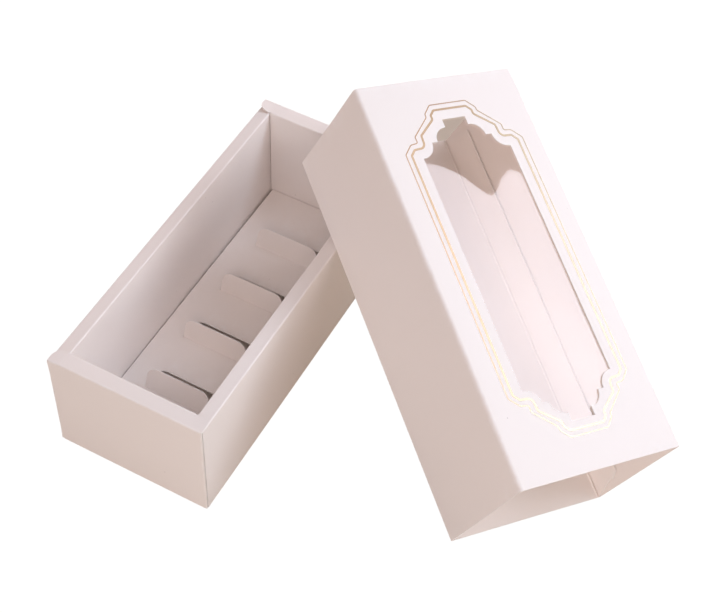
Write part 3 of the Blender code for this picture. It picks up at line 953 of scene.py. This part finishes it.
def ramp(tree, value, span, result=(0.0, 1.0), interpolation="LINEAR"):
    """Runs through the result while the value runs through its span."""
    node = add_node(tree, "ShaderNodeMapRange", interpolation_type=interpolation)
    feed(node, Value=value, From_Min=span[0], From_Max=span[1], To_Min=result[0], To_Max=result[1])
    return node.outputs["Result"]


def colour_sockets(sockets):
    return [socket for socket in sockets if socket.type == "RGBA"]


def mix_colours(tree, share, first, second):
    """A colour between two others, each of them a colour or a socket that gives one."""
    mix = feed(add_node(tree, "ShaderNodeMix", data_type="RGBA"), Factor=share)
    for socket, colour in zip(colour_sockets(mix.inputs), (first, second)):
        connect(socket, colour)
    return colour_sockets(mix.outputs)[0]


def bumped(tree, height, strength, depth):
    """Normals with this relief in them."""
    bump = add_node(tree, "ShaderNodeBump")
    return feed(bump, Strength=strength, Distance=depth, Height=height).outputs["Normal"]


def group_shell(name, inputs, outputs):
    """An empty shader node group with named number or vector sockets."""
    tree = bpy.data.node_groups.new(name, "ShaderNodeTree")
    for socket, kind, value in inputs:
        made = tree.interface.new_socket(socket, in_out="INPUT", socket_type=kind)
        if value is not None:
            made.default_value = value
    for socket in outputs:
        tree.interface.new_socket(socket, in_out="OUTPUT", socket_type="NodeSocketFloat")
    return tree, tree.nodes.new("NodeGroupInput").outputs, tree.nodes.new("NodeGroupOutput")


def make_grain_group():
    """The board's surface: short fibres pressed into it, faint clouding, and a few dark flecks."""
    tree, given, made = group_shell(
        "board_grain",
        [("Place", "NodeSocketVector", None), ("Fibre Scale", "NodeSocketFloat", 1400.0),
         ("Cloud Scale", "NodeSocketFloat", 38.0)],
        ["Fibre", "Cloud", "Fleck"])
    stretch = add_node(tree, "ShaderNodeMapping")
    feed(stretch, Vector=given["Place"], Scale=(1.0, 0.45, 1.0), Rotation=(0.3, 0.2, 0.5))
    fibre = noise_pattern(tree, stretch.outputs["Vector"], Scale=given["Fibre Scale"], Detail=4.0,
                          Roughness=0.62, Distortion=0.8)
    cloud = noise_pattern(tree, given["Place"], Scale=given["Cloud Scale"], Detail=3.0, Roughness=0.5)
    cells = add_node(tree, "ShaderNodeTexVoronoi", feature="F1")
    feed(cells, Vector=given["Place"], Scale=75.0, Randomness=1.0)
    fleck = ramp(tree, cells.outputs["Distance"], (0.016, 0.026), (1.0, 0.0), "SMOOTHSTEP")
    feed(made, Fibre=fibre, Cloud=cloud, Fleck=fleck)
    return tree


def make_wear_and_highlight_group():
    """Where the coating has cracked along a fold, broken up at random, which is also where a lighter crease
    highlight is painted.
    """
    tree, given, made = group_shell(
        "fold_wear_and_highlight",
        [("Place", "NodeSocketVector", None), ("Fold", "NodeSocketFloat", 0.0),
         ("Amount", "NodeSocketFloat", 0.5)],
        ["Worn", "Crack"])
    patches = noise_pattern(tree, given["Place"], Scale=160.0, Detail=5.0, Roughness=0.65)
    spread = ramp(tree, patches, (0.36, 0.66), interpolation="SMOOTHSTEP")
    along = calculate(tree, "MULTIPLY", given["Fold"], spread)
    worn_and_highlit = calculate(tree, "MULTIPLY", along, given["Amount"])
    cracks = noise_pattern(tree, given["Place"], Scale=2200.0, Detail=3.0, Roughness=0.7)
    feed(made, Worn=worn_and_highlit, Crack=calculate(tree, "MULTIPLY", cracks, worn_and_highlit))
    return tree


def new_material(name):
    """A material with nodes, its tree and its Principled BSDF."""
    material = bpy.data.materials.new(name)
    material.use_nodes = True
    tree = material.node_tree
    return material, tree, tree.nodes["Principled BSDF"]


def make_board(name, grain, wear_and_highlight, tints, roughness, fibre_depth, worn_and_highlight_colour, worn_and_highlight_amount):
    """Folding board: two close tints clouded together, fibre relief, flecks, and cracked folds that are
    painted lighter, partly as a crease highlight.
    """
    material, tree, shader = new_material(name)
    place = object_place(tree)
    surface = feed(add_node(tree, "ShaderNodeGroup", node_tree=grain), Place=place).outputs
    folds = add_node(tree, "ShaderNodeAttribute", attribute_name="fold_wear_and_highlight").outputs["Fac"]
    worn_and_highlit = add_node(tree, "ShaderNodeGroup", node_tree=wear_and_highlight)
    crack = feed(worn_and_highlit, Place=place, Fold=folds, Amount=worn_and_highlight_amount).outputs["Crack"]
    clouded = mix_colours(tree, surface["Cloud"], *tints)
    fleck_colour = tuple(FLECK_SHADE * part for part in tints[1][:3]) + (1.0,)
    flecked = mix_colours(tree, surface["Fleck"], clouded, fleck_colour)
    # Painted highlight: the outsides of folds are painted lighter, both for cracked coating and for the light
    # that a crease catches.
    colour = mix_colours(tree, worn_and_highlit.outputs["Worn"], flecked, worn_and_highlight_colour)
    gloss = ramp(tree, surface["Fibre"], FIBRE_RANGE, (roughness - GLOSSIER, roughness + DULLER))
    dulled = calculate(tree, "ADD", gloss, crack, use_clamp=True)
    relief = calculate(tree, "ADD", surface["Fibre"], crack)
    feed(shader, Base_Color=colour, Roughness=dulled, Normal=bumped(tree, relief, FIBRE_RELIEF, fibre_depth))
    return material


def make_foil(name, tints, grain, placing):
    """Pressed gold foil: bright metal that takes a little of the board's grain, and a painted reflection that
    pales it to one side.
    """
    material, tree, shader = new_material(name)
    place = object_place(tree)
    pressed = add_node(tree, "ShaderNodeGroup", node_tree=grain)
    surface = feed(pressed, Place=place, Fibre_Scale=2600.0, Cloud_Scale=90.0).outputs
    # Painted reflection: the foil runs from its deep tint to its pale tint across the sleeve, pale on the
    # softbox's side and painted in shade on the other.
    turn = placing.to_3x3() @ FOIL_SHEEN_TURN
    painted_sheen_span = [(placing @ lines_middle()).dot(turn) + step for step in FOIL_PAINTED_SHEEN_SPAN]
    sideways = feed(add_node(tree, "ShaderNodeVectorMath", operation="DOT_PRODUCT"), place, turn)
    painted_sheen = ramp(tree, sideways.outputs["Value"], painted_sheen_span)
    clouded = calculate(tree, "MULTIPLY_ADD", surface["Cloud"], FOIL_CLOUDING, painted_sheen)
    gloss = ramp(tree, surface["Fibre"], FIBRE_RANGE, FOIL_ROUGHNESS)
    feed(shader, Base_Color=mix_colours(tree, clouded, *tints), Metallic=1.0, Roughness=gloss,
         Normal=bumped(tree, surface["Fibre"], FOIL_RELIEF, FOIL_DEPTH))
    return material


def make_film():
    """Clear film: nearly all see-through, and a better mirror the flatter it is looked along.

    A Fresnel node turns its IOR over on a back face. That is undone here, so both faces mirror alike.
    """
    material, tree, shader = new_material("clear_film")
    backfacing = add_node(tree, "ShaderNodeNewGeometry").outputs["Backfacing"]
    density = calculate(tree, "MULTIPLY_ADD", backfacing, 1 / FILM_IOR - FILM_IOR, FILM_IOR)
    sheen = feed(add_node(tree, "ShaderNodeFresnel"), IOR=density).outputs["Fac"]
    feed(shader, Base_Color=FILM_TINT, Metallic=1.0, Roughness=FILM_ROUGHNESS, Alpha=sheen)
    return material


def make_floor_material():
    """A cream table for the light that it sends up, which is seen as white all round the box."""
    material, tree, shader = new_material("studio_floor")
    cloud = noise_pattern(tree, object_place(tree), Scale=3.0, Detail=2.0)
    feed(shader, Base_Color=mix_colours(tree, cloud, *FLOOR_TINTS), Roughness=FLOOR_ROUGHNESS)
    white = feed(add_node(tree, "ShaderNodeEmission"), Strength=FLOOR_GLOW)
    path = add_node(tree, "ShaderNodeLightPath").outputs
    before_film = calculate(tree, "LESS_THAN", path["Transparent Depth"], FILM_PASSED)
    seen = calculate(tree, "MULTIPLY", path["Is Camera Ray"], before_film)
    share = calculate(tree, "MULTIPLY", seen, FLOOR_WHITE)
    mix = add_node(tree, "ShaderNodeMixShader")
    feed(mix, share, shader.outputs["BSDF"], white.outputs["Emission"])
    feed(tree.nodes["Material Output"], Surface=mix.outputs["Shader"])
    return material


def camera_axes():
    """The camera's right, up and backwards directions."""
    back = Vector((sin(CAMERA_AZIMUTH) * cos(CAMERA_ELEVATION), -cos(CAMERA_AZIMUTH) * cos(CAMERA_ELEVATION),
                   sin(CAMERA_ELEVATION)))
    right = Vector((0, 0, 1)).cross(back).normalized()
    up = back.cross(right)
    rolled_right = right * cos(CAMERA_ROLL) + up * sin(CAMERA_ROLL)
    rolled_up = up * cos(CAMERA_ROLL) - right * sin(CAMERA_ROLL)
    return rolled_right, rolled_up, back


def camera_place():
    return CAMERA_TARGET + camera_axes()[2] * CAMERA_DISTANCE


def place_camera():
    """The camera at the photograph's viewing angle."""
    lens = bpy.data.cameras.new("camera")
    lens.lens = CAMERA_LENS
    lens.sensor_width = CAMERA_SENSOR
    lens.clip_start = CAMERA_CLIP_START
    camera = bpy.data.objects.new("camera", lens)
    bpy.context.scene.collection.objects.link(camera)
    camera.matrix_world = Matrix.Translation(camera_place()) @ Matrix(camera_axes()).transposed().to_4x4()
    bpy.context.scene.camera = camera


def add_light(name, size, power, colour, placing):
    """An area light, which shines against its own +Z."""
    lamp = bpy.data.lights.new(name, "AREA")
    lamp.size = size
    lamp.energy = power
    lamp.color = colour
    light = bpy.data.objects.new(name, lamp)
    bpy.context.scene.collection.objects.link(light)
    light.matrix_world = placing
    return lamp


def softbox_rays(placing):
    """The softbox's place, the way to it from the film and the way along it, in the sleeve's own frame.

    Its far edge is where the camera sees it mirrored at KEY_EDGE_ALONG on the film, and the rest of
    it reaches from there towards the near end.
    """
    own_eye = placing.inverted() @ camera_place()
    middle = window_middle()
    mirrored_eye = Vector((own_eye.x, own_eye.y, 2 * middle.z - own_eye.z))
    edge_place = middle + Vector((0, KEY_EDGE_ALONG, 0))
    to_edge = (edge_place - mirrored_eye).normalized()
    level = (Vector((0, 1, 0)) - to_edge * to_edge.y).normalized()
    lengthwise = Matrix.Rotation(KEY_ROLL, 3, to_edge) @ level
    half = KEY_SPREAD / 2
    aim = to_edge * cos(half) - lengthwise * sin(half)
    along = to_edge * sin(half) + lengthwise * cos(half)
    return edge_place + aim * KEY_DISTANCE, aim, along


def place_softbox(placing):
    """The softbox behind the sleeve, which the near four fifths of the film mirror."""
    own_place, own_aim, own_along = softbox_rays(placing)
    turn = placing.to_3x3()
    aim = turn @ own_aim
    along = turn @ own_along
    axes = Matrix((along.cross(aim), along, aim)).transposed().to_4x4()
    stand = Matrix.Translation(placing @ own_place) @ axes
    lamp = add_light("softbox", KEY_WIDTH, KEY_POWER, KEY_COLOUR, stand)
    lamp.shape = "RECTANGLE"
    lamp.size_y = 2 * KEY_DISTANCE * tan(KEY_SPREAD / 2)
    lamp.use_nodes = True
    tree = lamp.node_tree
    face = add_node(tree, "ShaderNodeNewGeometry").outputs["Parametric"]
    length = feed(add_node(tree, "ShaderNodeSeparateXYZ"), Vector=face).outputs["Y"]
    feed(tree.nodes["Emission"], Strength=ramp(tree, length, (KEY_FADE_START, 1.0), (1.0, KEY_FADE_END)))


def place_fills():
    """The soft lights all round."""
    for name, direction, size, colour in FILLS:
        towards = Vector(direction).normalized()
        turn = towards.to_track_quat("Z", "Y").to_matrix().to_4x4()
        placing = Matrix.Translation(FILL_PLACE + towards * FILL_DISTANCE) @ turn
        add_light(name, size, FILL_POWER, colour, placing)


def make_room():
    """A warm pale room, darker towards the floor, which is seen as white behind the box."""
    world = bpy.data.worlds.new("room")
    world.use_nodes = True
    tree = world.node_tree
    outwards = add_node(tree, "ShaderNodeTexCoord").outputs["Generated"]
    height = feed(add_node(tree, "ShaderNodeSeparateXYZ"), Vector=outwards).outputs["Z"]
    colour = mix_colours(tree, ramp(tree, height, (0.0, 1.0)), ROOM_LOW_COLOUR, ROOM_HIGH_COLOUR)
    path = add_node(tree, "ShaderNodeLightPath").outputs
    feed(tree.nodes["Background"], Color=mix_colours(tree, path["Is Camera Ray"], colour, WHITE))
    bpy.context.scene.world = world
    bpy.context.scene.view_settings.view_transform = "Standard"


def place_floor():
    """The table that the box stands on, which isn't part of it."""
    floor = flat_sheet("floor", (-FLOOR_HALF, -FLOOR_HALF), (FLOOR_HALF, FLOOR_HALF), -FLOOR_DROP)
    floor.data.materials.append(make_floor_material())


def settle(piece, slot, *nodes):
    """Puts a finished piece on the box's one body and hides the CAD nodes that it stands for; its slot is not
    used.
    """
    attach(piece, "root")
    if nodes:
        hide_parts(*nodes)


def build_box(placing):
    """Every piece of the box."""
    grain = make_grain_group()
    wear_and_highlight = make_wear_and_highlight_group()
    boards = [make_board(name, grain, wear_and_highlight, **finish) for name, finish in BOARDS.items()]
    settle(build_tray(boards), "tray_card", "tray")
    settle(build_divider(boards), "divider_card", "divider")
    settle(build_sleeve(boards, placing), "sleeve_card", "sleeve")
    settle(build_film(make_film(), placing), "clear_film", "window_film")
    for side, quarter, width, tints in (("outer", OUTER_LINE, OUTER_LINE_WIDTH, OUTER_FOIL),
                                        ("inner", INNER_LINE, INNER_LINE_WIDTH, INNER_FOIL)):
        foil = make_foil(f"{side}_line_foil", tints, grain, placing)
        settle(build_gold_line(f"gold_line_{side}", quarter, width, foil, placing), "sleeve_card")


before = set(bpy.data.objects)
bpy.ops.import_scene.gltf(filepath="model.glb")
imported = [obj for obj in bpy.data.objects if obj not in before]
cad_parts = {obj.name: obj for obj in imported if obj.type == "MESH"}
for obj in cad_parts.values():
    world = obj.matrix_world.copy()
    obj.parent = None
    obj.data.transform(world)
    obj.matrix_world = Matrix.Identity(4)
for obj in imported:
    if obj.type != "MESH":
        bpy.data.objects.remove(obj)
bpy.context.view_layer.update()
sleeve_place = sleeve_placing(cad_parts["window_film"])
place_camera()
place_softbox(sleeve_place)
place_fills()
make_room()
place_floor()
build_box(sleeve_place)
